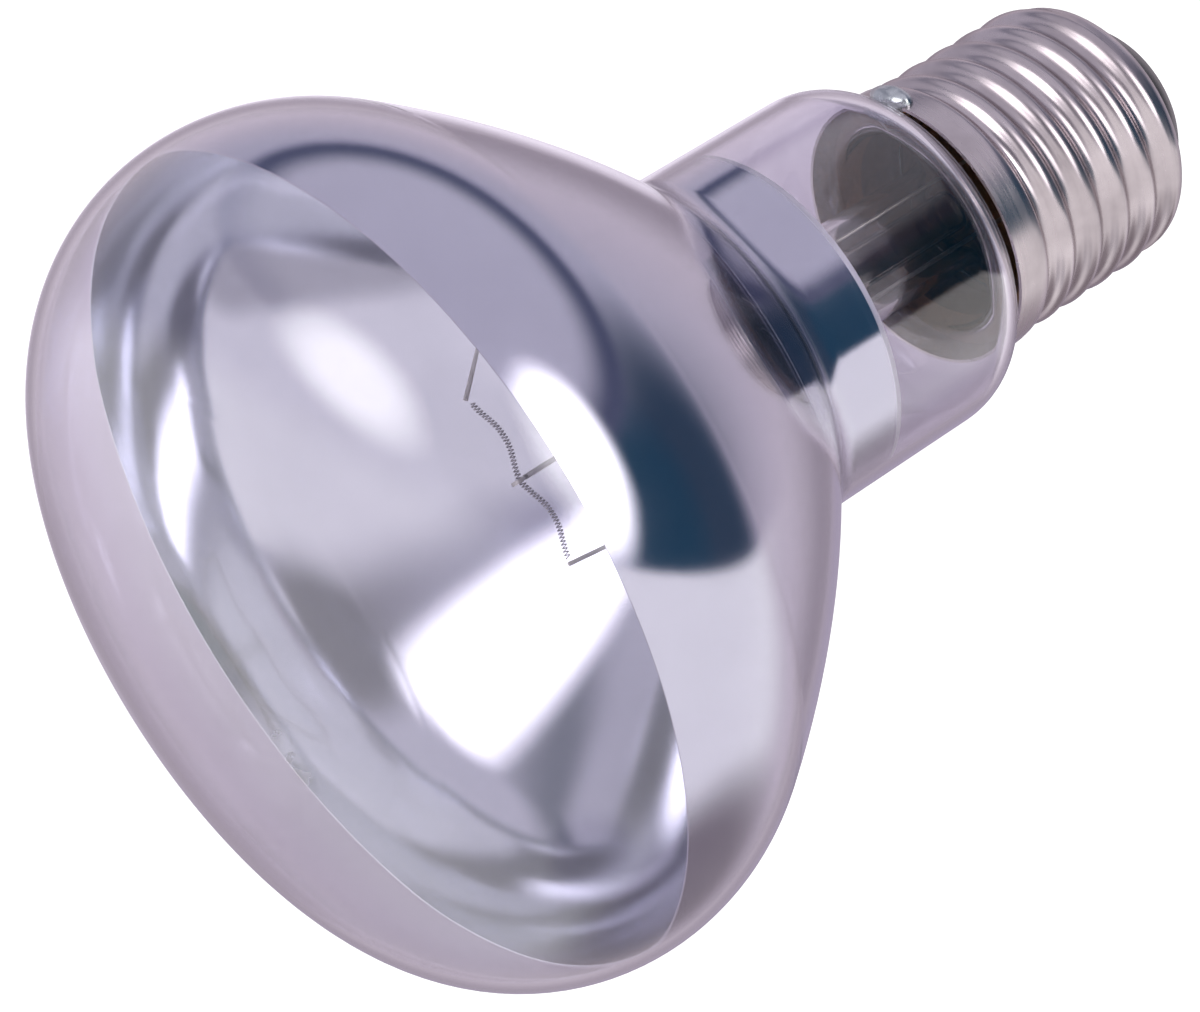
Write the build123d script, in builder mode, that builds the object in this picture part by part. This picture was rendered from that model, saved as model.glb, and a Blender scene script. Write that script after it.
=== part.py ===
from build123d import *
import os
from math import acos, asin, cos, degrees, radians, sin, sqrt

# Reflector spot lamp: a blown glass bulb with a mirrored back, cemented into a screw cap.
# Millimetres. The lamp's axis is Z, its centre contact ends at Z = 0 and its face looks up.

# Blown glass bulb
lamp_length = 112.5
bulb_radius = 40.0
face_depth = 22.7
face_radius = 84.0
back_corner_radius = 20.0
back_corner_turn = 32.0
back_bow_radius = 113.0
throat_radius = 5.3
neck_radius = 16.9
neck_bottom = 35.6
shoulder_radius = 6.2
tail_radius = 10.6
tail_fillet = 1.2
tail_bottom = 20.5
glass_wall = 0.9

# Mirror coat on the inside of the glass
coat_top = 93.8
coat_bottom = 47.4
coat_thickness = 0.15
coat_gap = 0.02

# Screw cap, with the rolled round thread of a 27 mm lamp cap
rim_height = 29.5
collar_radius = 13.5
collar_length = 4.7
shell_wall = 0.35
shell_bottom = 5.6
shell_end_round = 2.4
shell_mouth_radius = 9.8
crest_radius = 13.2
thread_depth = 0.95
thread_pitch = 3.629
top_crest_height = 26.05
thread_turns = 6
thread_end_azimuth = 250.0
thread_runout_bottom = 9.0
thread_runout_top = 10.2
valley_flat = 0.6

# Contact end of the cap
contact_radius = 5.6
contact_thickness = 1.2
contact_edge = 0.4
contact_eye_radius = 1.7
insulator_nose_radius = 6.6
insulator_bulge = 0.9
insulator_top = 10.0
insulator_eye_radius = 0.7

# Stem, exhaust tube and wires
stem_radius = 5.2
stem_wall = 0.9
stem_flare_radius = 5.0
press_bottom = 42.0
press_blend = 5.0
press_top = 54.0
press_width = 12.0
press_thickness = 3.4
press_corner = 1.2
exhaust_radius = 2.0
exhaust_wall = 0.5
exhaust_tip = 22.0
lead_radius = 0.3
lead_spacing = 6.2
lead_bend_radius = 1.6
shell_lead_splay = 3.4
shell_lead_drop = 3.6
centre_lead_splay = 0.6
centre_lead_drop = 5.0
lead_gather_rise = 5.0
support_radius = 0.25
support_foot = 3.0
support_eye_thickness = 0.36

# Filament
filament_height = 77.0
filament_length = 15.8
filament_radius = 0.3

# Joints between pieces
seal_gap = 0.02
seat_gap = 0.03
lead_end_gap = 0.1
cement_below_rim = 3.5
cement_length = 4.0
rim_knee_rise = 0.6
solder_length = 5.4
solder_radius = 1.3
solder_drop = 1.1
solder_azimuth = -33.0


def tangent_drop(centre, reach, target_x):
    """Height of a centre at target_x that lies reach away from centre, below it."""
    return centre[1] - sqrt(reach**2 - (target_x - centre[0]) ** 2)


def bulb_outline(inset):
    """Draws half the bulb's section, top of the face to end of the tail, moved inwards by inset."""
    equator = lamp_length - face_depth
    rim_radius = (2 * face_depth * face_radius - bulb_radius**2 - face_depth**2) / (
        2 * (face_radius - bulb_radius)
    )
    face_turn = degrees(asin((bulb_radius - rim_radius) / (face_radius - rim_radius)))
    turn = radians(back_corner_turn)
    corner_x = bulb_radius - back_corner_radius
    bow_shift = back_bow_radius - back_corner_radius
    bow = (corner_x - bow_shift * cos(turn), equator + bow_shift * sin(turn))
    throat_reach = back_bow_radius + throat_radius
    throat_x = neck_radius + throat_radius
    throat = (throat_x, tangent_drop(bow, throat_reach, throat_x))
    throat_turn = degrees(acos((throat_x - bow[0]) / throat_reach))
    shoulder = (neck_radius - shoulder_radius, neck_bottom)
    tail_reach = shoulder_radius + tail_fillet
    fillet_x = tail_radius + tail_fillet
    fillet_centre = (fillet_x, tangent_drop(shoulder, tail_reach, fillet_x))
    fillet_turn = degrees(acos((fillet_x - shoulder[0]) / tail_reach))
    face = CenterArc((0, lamp_length - face_radius), face_radius - inset, 90, -face_turn)
    CenterArc((bulb_radius - rim_radius, equator), rim_radius - inset, 90 - face_turn, face_turn - 90)
    CenterArc((corner_x, equator), back_corner_radius - inset, 0, -back_corner_turn)
    CenterArc(bow, back_bow_radius - inset, -back_corner_turn, back_corner_turn - throat_turn)
    into_neck = CenterArc(throat, throat_radius + inset, 180 - throat_turn, throat_turn)
    out_of_neck = CenterArc(shoulder, shoulder_radius - inset, 0, -fillet_turn)
    Line(into_neck @ 1, out_of_neck @ 0)
    into_tail = CenterArc(fillet_centre, tail_fillet + inset, 180 - fillet_turn, fillet_turn)
    tail = Line(into_tail @ 1, (tail_radius - inset, tail_bottom))
    return face @ 0, tail @ 1


def bulb_layer(outer, inner):
    """Draws the closed section between two outlines of the bulb."""
    outer_top, outer_end = bulb_outline(outer)
    inner_top, inner_end = bulb_outline(inner)
    Line(outer_top, inner_top)
    Line(outer_end, inner_end)


with BuildPart() as envelope:
    with BuildSketch(Plane.XZ):
        with BuildLine():
            bulb_layer(0, glass_wall)
        make_face()
    revolve(axis=Axis.Z)

coat_inset = glass_wall + coat_gap
with BuildPart() as mirror_coating:
    with BuildSketch(Plane.XZ):
        with BuildLine():
            bulb_layer(coat_inset, coat_inset + coat_thickness)
        make_face()
        with Locations((0, coat_bottom)):
            Rectangle(bulb_radius, coat_top - coat_bottom, align=(Align.MIN, Align.MIN), mode=Mode.INTERSECT)
    revolve(axis=Axis.Z)

# Cap shell: a plain tube and collar, the round thread added turn by turn, then trimmed and bored out.
# The thread's top end runs out under the collar, and its lower end is turned down to the root.
root_radius = crest_radius - thread_depth
knuckle_radius = ((thread_pitch / 2) ** 2 + thread_depth**2) / (4 * thread_depth)
knuckle_turn = degrees(acos(1 - thread_depth / (2 * knuckle_radius)))
foot_turn = degrees(asin(valley_flat / 2 / knuckle_radius))
valley_radius = root_radius + knuckle_radius * (1 - cos(radians(foot_turn)))
first_crest_height = top_crest_height - thread_turns * thread_pitch
collar_bottom = rim_height - collar_length
round_height = shell_bottom + shell_end_round
bore_radius = root_radius - shell_wall
collar_bore_radius = collar_radius - shell_wall

with BuildPart() as thread_turn:
    with BuildLine() as turn_path:
        Helix(thread_pitch, thread_pitch, root_radius, center=(0, 0, first_crest_height))
    with BuildSketch(Plane.XZ) as bead:
        with BuildLine():
            crest_x = crest_radius - knuckle_radius
            foot_x = root_radius + knuckle_radius
            upper_foot = (foot_x, first_crest_height + thread_pitch / 2)
            lower_foot = (foot_x, first_crest_height - thread_pitch / 2)
            CenterArc((crest_x, first_crest_height), knuckle_radius, -knuckle_turn, 2 * knuckle_turn)
            upper = CenterArc(upper_foot, knuckle_radius, 180 + foot_turn, knuckle_turn - foot_turn)
            lower = CenterArc(lower_foot, knuckle_radius, 180 - foot_turn, foot_turn - knuckle_turn)
            upper_back = (bore_radius, (upper @ 0).Y)
            lower_back = (bore_radius, (lower @ 0).Y)
            Polyline(upper @ 0, upper_back, lower_back, lower @ 0)
        make_face()
    sweep(sections=bead.sketch, path=turn_path.line, is_frenet=True)

with BuildPart() as threaded_shell:
    with BuildSketch(Plane.XZ):
        with BuildLine():
            Polyline(
                (0, shell_bottom),
                (valley_radius, shell_bottom),
                (valley_radius, collar_bottom),
                (collar_radius, collar_bottom),
                (collar_radius, rim_height),
                (0, rim_height),
                close=True,
            )
        make_face()
    revolve(axis=Axis.Z)
    for turn in range(thread_turns):
        with Locations((0, 0, turn * thread_pitch)):
            add(thread_turn.part)
    with BuildSketch(Plane.XZ):
        with BuildLine():
            round_centre = (root_radius - shell_end_round, round_height)
            end_round = CenterArc(round_centre, shell_end_round, -90, 90)
            Polyline(
                end_round @ 1,
                (root_radius, thread_runout_bottom),
                (collar_radius, thread_runout_top),
                (collar_radius + shell_end_round, thread_runout_top),
                (collar_radius + shell_end_round, 0),
                (0, 0),
                (0, shell_bottom),
                end_round @ 0,
            )
        make_face()
    revolve(axis=Axis.Z, mode=Mode.SUBTRACT)
    with BuildSketch(Plane.XZ):
        with BuildLine():
            Polyline(
                (0, shell_bottom),
                (shell_mouth_radius, shell_bottom),
                (shell_mouth_radius, shell_bottom + shell_wall),
                (bore_radius, round_height),
                (bore_radius, collar_bottom + shell_wall),
                (collar_bore_radius, collar_bottom + shell_wall),
                (collar_bore_radius, rim_height),
                (0, rim_height),
                close=True,
            )
        make_face()
    revolve(axis=Axis.Z, mode=Mode.SUBTRACT)

with BuildPart() as cap_shell:
    with Locations(Location((0, 0, 0), (0, 0, thread_end_azimuth))):
        add(threaded_shell.part)

# Contact end: a dark glass insulator, a contact plate and the solder in its eye
with BuildPart() as cap_insulator:
    with BuildSketch(Plane.XZ):
        with BuildLine():
            neck_x = shell_mouth_radius - seat_gap
            seat_z = shell_bottom + shell_wall + seat_gap
            nose = (insulator_nose_radius, contact_thickness)
            bulge = SagittaArc(nose, (neck_x, shell_bottom), -insulator_bulge)
            Polyline(
                bulge @ 1,
                (neck_x, seat_z),
                (bore_radius - seat_gap, round_height + 2 * seat_gap),
                (bore_radius - seat_gap, insulator_top),
                (insulator_eye_radius, insulator_top),
                (insulator_eye_radius, contact_thickness),
                bulge @ 0,
            )
        make_face()
    revolve(axis=Axis.Z)

with BuildPart() as centre_contact:
    Cylinder(contact_radius, contact_thickness, align=(Align.CENTER, Align.CENTER, Align.MIN))
    fillet(centre_contact.edges().sort_by(Axis.Z)[0], contact_edge)
    Hole(contact_eye_radius)

with BuildPart() as contact_solder:
    Cylinder(
        contact_eye_radius - seal_gap,
        contact_thickness - seat_gap,
        align=(Align.CENTER, Align.CENTER, Align.MIN),
    )
    fillet(contact_solder.edges().sort_by(Axis.Z)[0], contact_edge)
    with BuildSketch(Plane.XY.offset(contact_thickness / 2)):
        Circle(lead_radius + seal_gap)
    extrude(amount=contact_thickness, mode=Mode.SUBTRACT)

# Stem: a trumpet flare that closes the tail, a tube, and the flattened press that holds the wires
lead_x = lead_spacing / 2
flare_edge = tail_radius - glass_wall - seat_gap
flare_height = tail_bottom + stem_wall + stem_flare_radius
with BuildPart() as stem:
    with BuildSketch(Plane.XZ):
        with BuildLine():
            centre = (stem_radius + stem_flare_radius, flare_height)
            upper_flare = CenterArc(centre, stem_flare_radius, 180, 90)
            lower_flare = CenterArc(centre, stem_flare_radius + stem_wall, 180, 90)
            Polyline(
                upper_flare @ 0,
                (stem_radius, press_bottom),
                (stem_radius - stem_wall, press_bottom),
                lower_flare @ 0,
            )
            Line(upper_flare @ 1, lower_flare @ 1)
        make_face()
        with Locations((0, tail_bottom)):
            Rectangle(flare_edge, press_top, align=(Align.MIN, Align.MIN), mode=Mode.INTERSECT)
    revolve(axis=Axis.Z)
    with BuildSketch(Plane.XY.offset(press_bottom)):
        Circle(stem_radius)
    with BuildSketch(Plane.XY.offset(press_bottom + press_blend)) as press_section:
        RectangleRounded(press_width, press_thickness, press_corner)
    loft()
    extrude(press_section.sketch, amount=press_top - press_bottom - press_blend)
    with BuildSketch(Plane.XY.offset(press_bottom)):
        with GridLocations(lead_spacing, 0, 2, 1):
            Circle(lead_radius + seal_gap)
    extrude(amount=press_top - press_bottom, mode=Mode.SUBTRACT)
    with BuildSketch(Plane.XY.offset(press_top)):
        Circle(support_radius + seal_gap)
    extrude(amount=-support_foot, mode=Mode.SUBTRACT)

with BuildPart() as exhaust_tube:
    with BuildSketch(Plane.XZ):
        with BuildLine():
            tip = CenterArc((0, exhaust_tip + exhaust_radius), exhaust_radius, -90, 90)
            hollow = CenterArc((0, exhaust_tip + exhaust_radius), exhaust_radius - exhaust_wall, -90, 90)
            Line(tip @ 0, hollow @ 0)
            Polyline(
                tip @ 1,
                (exhaust_radius, press_bottom),
                (exhaust_radius - exhaust_wall, press_bottom),
                hollow @ 1,
            )
        make_face()
    revolve(axis=Axis.Z)

# Wires: each lead runs from the filament through the press and down to its end of the cap
lead_tip_x = filament_length / 2 + lead_end_gap + lead_radius
lead_gather = press_top + lead_gather_rise
lead_fan = tail_bottom - lead_bend_radius
lead_turn = lead_fan - lead_bend_radius
rim_lead_end = rim_height - lead_radius
rim_lead_x = (tail_radius + bore_radius) / 2
rim_lead_end_x = collar_bore_radius - lead_radius - seat_gap
centre_lead_points = [
    (-lead_tip_x, 0, filament_height + lead_radius),
    (-lead_tip_x - centre_lead_splay, 0, filament_height - centre_lead_drop),
    (-lead_x, 0, lead_gather),
    (-lead_x, 0, lead_fan),
    (0, 0, insulator_top + lead_bend_radius),
    (0, 0, contact_thickness / 2 + seat_gap),
]
shell_lead_points = [
    (lead_tip_x, 0, filament_height + lead_radius),
    (lead_tip_x + shell_lead_splay, 0, filament_height - shell_lead_drop),
    (lead_x, 0, lead_gather),
    (lead_x, 0, lead_turn),
    Vector(rim_lead_x, 0, lead_turn).rotate(Axis.Z, solder_azimuth),
    Vector(rim_lead_x, 0, rim_lead_end - rim_knee_rise).rotate(Axis.Z, solder_azimuth),
    Vector(rim_lead_end_x, 0, rim_lead_end).rotate(Axis.Z, solder_azimuth),
]

with BuildPart() as centre_lead_wire:
    with BuildLine() as centre_lead_path:
        FilletPolyline(*centre_lead_points, radius=lead_bend_radius)
    with BuildSketch(Plane(centre_lead_path.line @ 0, z_dir=centre_lead_path.line % 0)):
        Circle(lead_radius)
    sweep()

with BuildPart() as shell_lead_wire:
    with BuildLine() as shell_lead_path:
        FilletPolyline(*shell_lead_points, radius=lead_bend_radius)
    with BuildSketch(Plane(shell_lead_path.line @ 0, z_dir=shell_lead_path.line % 0)):
        Circle(lead_radius)
    sweep()

# Support: a straight wire with an eye, flattened from its end, round the middle of the filament
eye_radius = filament_radius + seat_gap
with BuildPart() as support_wire:
    with BuildSketch(Plane.XY.offset(press_top - support_foot + seat_gap)):
        Circle(support_radius)
    extrude(amount=filament_height - eye_radius - support_radius - press_top + support_foot - seat_gap)
    with BuildSketch(Plane.YZ):
        with Locations((0, filament_height)):
            Circle(eye_radius + 2 * support_radius)
            Circle(eye_radius, mode=Mode.SUBTRACT)
    extrude(amount=support_eye_thickness / 2, both=True)

with BuildPart() as filament:
    with BuildSketch(Plane.YZ.offset(-filament_length / 2)):
        with Locations((0, filament_height)):
            Circle(filament_radius)
    extrude(amount=filament_length)

# Cement between tail and collar, and the solder that joins the shell's lead to the rim
cement_top = rim_height - cement_below_rim
cement_step = collar_bottom + shell_wall + seat_gap
with BuildPart() as basing_cement:
    with BuildSketch(Plane.XZ):
        with BuildLine():
            Polyline(
                (tail_radius + seat_gap, cement_top - cement_length),
                (bore_radius - seat_gap, cement_top - cement_length),
                (bore_radius - seat_gap, cement_step),
                (collar_bore_radius - seat_gap, cement_step),
                (collar_bore_radius - seat_gap, cement_top),
                (tail_radius + seat_gap, cement_top),
                close=True,
            )
        make_face()
    revolve(axis=Axis.Z)
    with BuildSketch(Plane.XY.offset(cement_top)):
        with PolarLocations(rim_lead_x, 1, solder_azimuth):
            Circle(lead_radius + seal_gap)
    extrude(amount=-cement_length, mode=Mode.SUBTRACT)

solder_centre = Vector(collar_radius, 0, rim_height - solder_drop).rotate(Axis.Z, solder_azimuth)
with BuildPart() as solder_blob:
    Sphere(solder_radius)
    scale(by=(1, solder_length / (2 * solder_radius), 1))

with BuildPart() as side_solder:
    with Locations(Location(solder_centre, (0, 0, solder_azimuth))):
        add(solder_blob.part)
    with BuildSketch(Plane.XY.offset(rim_height + seal_gap)):
        Circle(collar_radius + seal_gap)
    extrude(amount=-collar_length, mode=Mode.SUBTRACT)

pieces = {
    "envelope": envelope,
    "mirror_coating": mirror_coating,
    "stem": stem,
    "exhaust_tube": exhaust_tube,
    "centre_lead_wire": centre_lead_wire,
    "shell_lead_wire": shell_lead_wire,
    "support_wire": support_wire,
    "filament": filament,
    "cap_shell": cap_shell,
    "basing_cement": basing_cement,
    "side_solder": side_solder,
    "cap_insulator": cap_insulator,
    "centre_contact": centre_contact,
    "contact_solder": contact_solder,
}
os.makedirs("parts", exist_ok=True)
for name, piece in pieces.items():
    piece.part.label = name
    export_step(piece.part, f"parts/{name}.step")
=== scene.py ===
from math import acos, asin, cos, degrees, radians, sin, sqrt

import bmesh
import bpy
from mathutils import Matrix, Vector


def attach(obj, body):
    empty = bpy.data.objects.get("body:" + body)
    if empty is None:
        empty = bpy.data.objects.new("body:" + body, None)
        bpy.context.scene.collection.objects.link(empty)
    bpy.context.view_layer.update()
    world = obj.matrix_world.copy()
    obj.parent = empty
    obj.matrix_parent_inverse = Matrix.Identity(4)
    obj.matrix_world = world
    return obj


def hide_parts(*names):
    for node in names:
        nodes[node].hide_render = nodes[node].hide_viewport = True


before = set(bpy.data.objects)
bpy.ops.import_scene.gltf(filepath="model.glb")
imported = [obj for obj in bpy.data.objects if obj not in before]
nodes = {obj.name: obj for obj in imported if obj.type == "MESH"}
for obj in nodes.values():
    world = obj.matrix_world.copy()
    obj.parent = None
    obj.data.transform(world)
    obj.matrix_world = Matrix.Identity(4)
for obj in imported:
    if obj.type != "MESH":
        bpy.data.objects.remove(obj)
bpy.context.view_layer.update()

MM = 0.001

# Sizes in millimetres, as in the solid model
lamp_length, bulb_radius, face_depth, face_radius = 112.5, 40.0, 22.7, 84.0
corner_radius, corner_turn, bow_radius, throat_radius = 20.0, 32.0, 113.0, 5.3
neck_radius, neck_bottom, shoulder_radius = 16.9, 35.6, 6.2
tail_radius, tail_fillet, tail_bottom, glass_wall = 10.6, 1.2, 20.5, 0.9
film_top, film_bottom, film_gap, film_thickness = 93.8, 47.4, 0.02, 0.15
rim_height, collar_radius, thread_end, sheet = 29.5, 13.5, 9.0, 0.35
crest_radius, thread_depth, thread_pitch, top_crest = 13.2, 0.95, 3.629, 23.53
shell_bottom, shell_end_round, shell_mouth = 5.6, 2.4, 9.8
contact_radius, contact_thickness, contact_edge, contact_eye = 5.6, 1.2, 0.4, 1.7
insulator_nose, insulator_bulge, insulator_top, insulator_eye = 6.6, 0.9, 10.0, 0.7
stem_radius, stem_wall, flare_radius, press_bottom, press_top = 5.2, 0.9, 5.0, 42.0, 54.0
press_width, press_thickness = 12.0, 3.4
filament_height, filament_length, filament_radius, lead_radius = 77.0, 15.8, 0.3, 0.3
solder_length, solder_radius, solder_drop, solder_azimuth = 5.4, 1.3, 1.1, -33.0

# Room between pieces that touch, and the distance below which points are merged
seat_gap, weld = 0.03, 0.002


def edit(piece):
    """Open one piece for editing, with nothing else selected."""
    if bpy.context.mode != "OBJECT":
        bpy.ops.object.mode_set(mode="OBJECT")
    bpy.ops.object.select_all(action="DESELECT")
    bpy.context.view_layer.objects.active = piece
    piece.select_set(True)
    bpy.ops.object.mode_set(mode="EDIT")


def section_from(name, x, z):
    """A new piece that starts as one point of its section, in the XZ plane."""
    if bpy.context.mode != "OBJECT":
        bpy.ops.object.mode_set(mode="OBJECT")
    bpy.ops.object.select_all(action="DESELECT")
    bpy.ops.mesh.primitive_plane_add(size=MM)
    piece = bpy.context.object
    piece.name = piece.data.name = name
    bpy.ops.object.mode_set(mode="EDIT")
    bpy.ops.mesh.select_mode(type="VERT")
    bpy.ops.mesh.merge(type="CENTER")
    bpy.ops.transform.translate(value=(x * MM, 0, z * MM))
    return piece


def run(x, z, steps=1):
    """Extrude the section's end point straight, in equal steps."""
    for _ in range(steps):
        move = {"value": (x * MM / steps, 0, z * MM / steps)}
        bpy.ops.mesh.extrude_region_move(TRANSFORM_OT_translate=move)


def arc(centre, turn, steps):
    """Carry the section's end point round a centre, anticlockwise seen from the front."""
    place = (centre[0] * MM, 0, centre[1] * MM)
    bpy.ops.mesh.spin(steps=steps, angle=radians(turn), center=place, axis=(0, 1, 0))


def along(arcs):
    """Carry the section's end point round several arcs, each with its centre, turn and steps."""
    for centre, turn, steps in arcs:
        arc(centre, turn, steps)


def back_along(arcs):
    """Carry the section's end point back round the same arcs, in reverse."""
    for centre, turn, steps in reversed(arcs):
        arc(centre, -turn, steps)


def turned(steps):
    """Spin the whole section in hand round the lamp's axis and close it."""
    bpy.ops.mesh.select_all(action="SELECT")
    bpy.ops.mesh.spin(steps=steps, angle=radians(360), center=(0, 0, 0), axis=(0, 0, 1))
    bpy.ops.mesh.select_all(action="SELECT")
    bpy.ops.mesh.remove_doubles(threshold=weld * MM)
    bpy.ops.mesh.normals_make_consistent(inside=False)


def finish_piece(piece, node, smooth=40):
    """Close a finished piece: shade it, hang it on the lamp and hide the CAD node it stands in for."""
    if bpy.context.mode != "OBJECT":
        bpy.ops.object.mode_set(mode="OBJECT")
    bpy.ops.object.shade_smooth_by_angle(angle=radians(smooth))
    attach(piece, "root")
    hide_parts(node)


# Blown bulb: the tangent arcs of its outline, each carried on from the one before.
# The rim's arc meets both the face's arc and the widest circle without a corner
equator = lamp_length - face_depth
rim_room = 2 * face_depth * face_radius - bulb_radius**2 - face_depth**2
rim_radius = rim_room / (2 * (face_radius - bulb_radius))
rim = (bulb_radius - rim_radius, equator)
face = (0, lamp_length - face_radius)
face_turn = degrees(asin(rim[0] / (face_radius - rim_radius)))
corner = (bulb_radius - corner_radius, equator)
bow_shift = bow_radius - corner_radius
bow = (corner[0] - bow_shift * cos(radians(corner_turn)), equator + bow_shift * sin(radians(corner_turn)))
throat_x = neck_radius + throat_radius
throat = (throat_x, bow[1] - sqrt((bow_radius + throat_radius) ** 2 - (throat_x - bow[0]) ** 2))
throat_turn = degrees(acos((throat_x - bow[0]) / (bow_radius + throat_radius)))
shoulder = (neck_radius - shoulder_radius, neck_bottom)
tail_x = tail_radius + tail_fillet
tail_reach = shoulder_radius + tail_fillet
tail = (tail_x, neck_bottom - sqrt(tail_reach**2 - (tail_x - shoulder[0]) ** 2))
tail_turn = degrees(acos((tail_x - shoulder[0]) / tail_reach))
dome = [(face, -face_turn, 20), (rim, face_turn - 90, 24)]
reflector = [(corner, -corner_turn, 14), (bow, corner_turn - throat_turn, 16), (throat, throat_turn, 10)]
neck_end = [(shoulder, -tail_turn, 16), (tail, tail_turn, 6)]
bulb_steps = 192
bulb = section_from("bulb_glass", 0, lamp_length)
along(dome + reflector)
run(0, neck_bottom - throat[1], steps=6)
along(neck_end)
run(0, tail_bottom - tail[1], steps=3)
run(-glass_wall, 0)
run(0, tail[1] - tail_bottom, steps=3)
back_along(neck_end)
run(0, throat[1] - neck_bottom, steps=6)
back_along(dome + reflector)
turned(bulb_steps)
finish_piece(bulb, "envelope")

# Mirror film: it follows the inside wall from just in front of the widest circle to mid neck
film_inset = glass_wall + film_gap
film_start = degrees(asin((film_top - equator) / (rim_radius - film_inset)))
film_x = rim[0] + sqrt((rim_radius - film_inset) ** 2 - (film_top - equator) ** 2)
film_arcs = [(rim, -film_start, 4)] + reflector
film = section_from("mirror_film", film_x, film_top)
along(film_arcs)
run(0, film_bottom - throat[1], steps=4)
run(-film_thickness, 0)
run(0, throat[1] - film_bottom, steps=4)
back_along(film_arcs)
bpy.ops.mesh.select_all(action="SELECT")
bpy.ops.mesh.edge_face_add()
bpy.ops.mesh.delete(type="ONLY_FACE")
turned(bulb_steps)
finish_piece(film, "mirror_coating")


def apply_all(piece):
    """Apply every modifier of a piece, in order."""
    bpy.ops.object.mode_set(mode="OBJECT")
    for modifier in list(piece.modifiers):
        bpy.ops.object.modifier_apply(modifier=modifier.name)


def pick_ring(piece, height):
    """Select the points of the piece in hand that lie at one height."""
    tolerance = 0.01
    bpy.ops.mesh.select_all(action="DESELECT")
    mesh = bmesh.from_edit_mesh(piece.data)
    for point in mesh.verts:
        if abs(point.co.z - height * MM) < tolerance * MM:
            point.select = True
    mesh.select_flush(True)
    bmesh.update_edit_mesh(piece.data)


def weigh(piece, name, start, full):
    """Weight paint by height: nothing at start, all at full, in millimetres."""
    group = piece.vertex_groups.new(name=name)
    for point in piece.data.vertices:
        share = min(max((point.co.z / MM - start) / (full - start), 0), 1)
        group.add([point.index], share * share * (3 - 2 * share), "REPLACE")


# Screw shell: one pitch of the round thread, screwed up the cap, then faded into the plain collar.
# It starts some pitches below the top crest over the X axis, and each end fades out between two heights
pitches_below, turns, thread_steps = 5.5, 8, 96
thread_fade, collar_start, collar_full = 10.8, 24.4, 26.4
thread_weld, cut_snap, cut_weld = 0.01, 0.001, 0.03
root_radius = crest_radius - thread_depth
knuckle = ((thread_pitch / 2) ** 2 + thread_depth**2) / (4 * thread_depth)
knuckle_turn = degrees(acos(1 - thread_depth / (2 * knuckle)))
valley = top_crest - pitches_below * thread_pitch
shell = section_from("screw_shell", root_radius, valley)
arc((root_radius + knuckle, valley), -knuckle_turn, 6)
arc((crest_radius - knuckle, valley + thread_pitch / 2), 2 * knuckle_turn, 12)
arc((root_radius + knuckle, valley + thread_pitch), -knuckle_turn, 6)
screw = shell.modifiers.new("rolled_thread", "SCREW")
screw.axis, screw.angle, screw.screw_offset = "Z", radians(360), thread_pitch * MM
screw.iterations, screw.steps, screw.render_steps = turns, thread_steps, thread_steps
screw.use_normal_calculate = True
apply_all(shell)
edit(shell)
bpy.ops.mesh.select_all(action="SELECT")
bpy.ops.mesh.remove_doubles(threshold=thread_weld * MM)
shell_end = shell_bottom + shell_end_round
# The rim stands a little lower than the solid's, so that the dark gap below the glass shows
rim_gap = 0.5
for cut, keep_below in ((rim_height - rim_gap, True), (shell_end, False)):
    bpy.ops.mesh.select_all(action="SELECT")
    bpy.ops.mesh.bisect(
        plane_co=(0, 0, cut * MM), plane_no=(0, 0, 1), clear_outer=keep_below, clear_inner=not keep_below,
        threshold=cut_snap * MM,
    )
bpy.ops.mesh.select_all(action="SELECT")
bpy.ops.mesh.remove_doubles(threshold=cut_weld * MM)
bpy.ops.object.mode_set(mode="OBJECT")
for name, start, full, radius in (
    ("collar", collar_start, collar_full, collar_radius),
    ("end", thread_fade, thread_end, root_radius),
):
    weigh(shell, name, start, full)
    cast = shell.modifiers.new(name, "CAST")
    cast.cast_type, cast.use_z, cast.factor, cast.radius = "CYLINDER", False, 1.0, radius * MM
    cast.use_radius_as_size, cast.size, cast.vertex_group = False, radius * MM, name
apply_all(shell)

# The shell's lower end is drawn in to its mouth in a quarter round
edit(shell)
bpy.ops.mesh.select_all(action="DESELECT")
bpy.ops.mesh.select_non_manifold(
    use_wire=False, use_multi_face=False, use_non_contiguous=False, use_verts=False
)
mesh = bmesh.from_edit_mesh(shell.data)
for point in mesh.verts:
    if point.co.z > thread_fade * MM:
        point.select = False
mesh.select_flush(False)
bmesh.update_edit_mesh(shell.data)
bpy.ops.transform.resize(value=(1, 1, 0), center_override=(0, 0, shell_end * MM))
end_steps = 8
radius_now = root_radius
for step in range(1, end_steps + 1):
    swing = radians(90 * step / end_steps)
    radius_next = shell_mouth + (root_radius - shell_mouth) * cos(swing)
    drop = shell_end_round * (sin(swing) - sin(radians(90 * (step - 1) / end_steps)))
    run(0, -drop)
    pull = radius_next / radius_now
    bpy.ops.transform.resize(value=(pull, pull, 1), center_override=(0, 0, 0))
    radius_now = radius_next
bpy.ops.object.mode_set(mode="OBJECT")
# One material slot for the outside and one for the inside
for _ in range(2):
    shell.data.materials.append(None)
wall = shell.modifiers.new("sheet", "SOLIDIFY")
wall.thickness, wall.offset, wall.material_offset = sheet * MM, -1, 1
apply_all(shell)
finish_piece(shell, "cap_shell")

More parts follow.
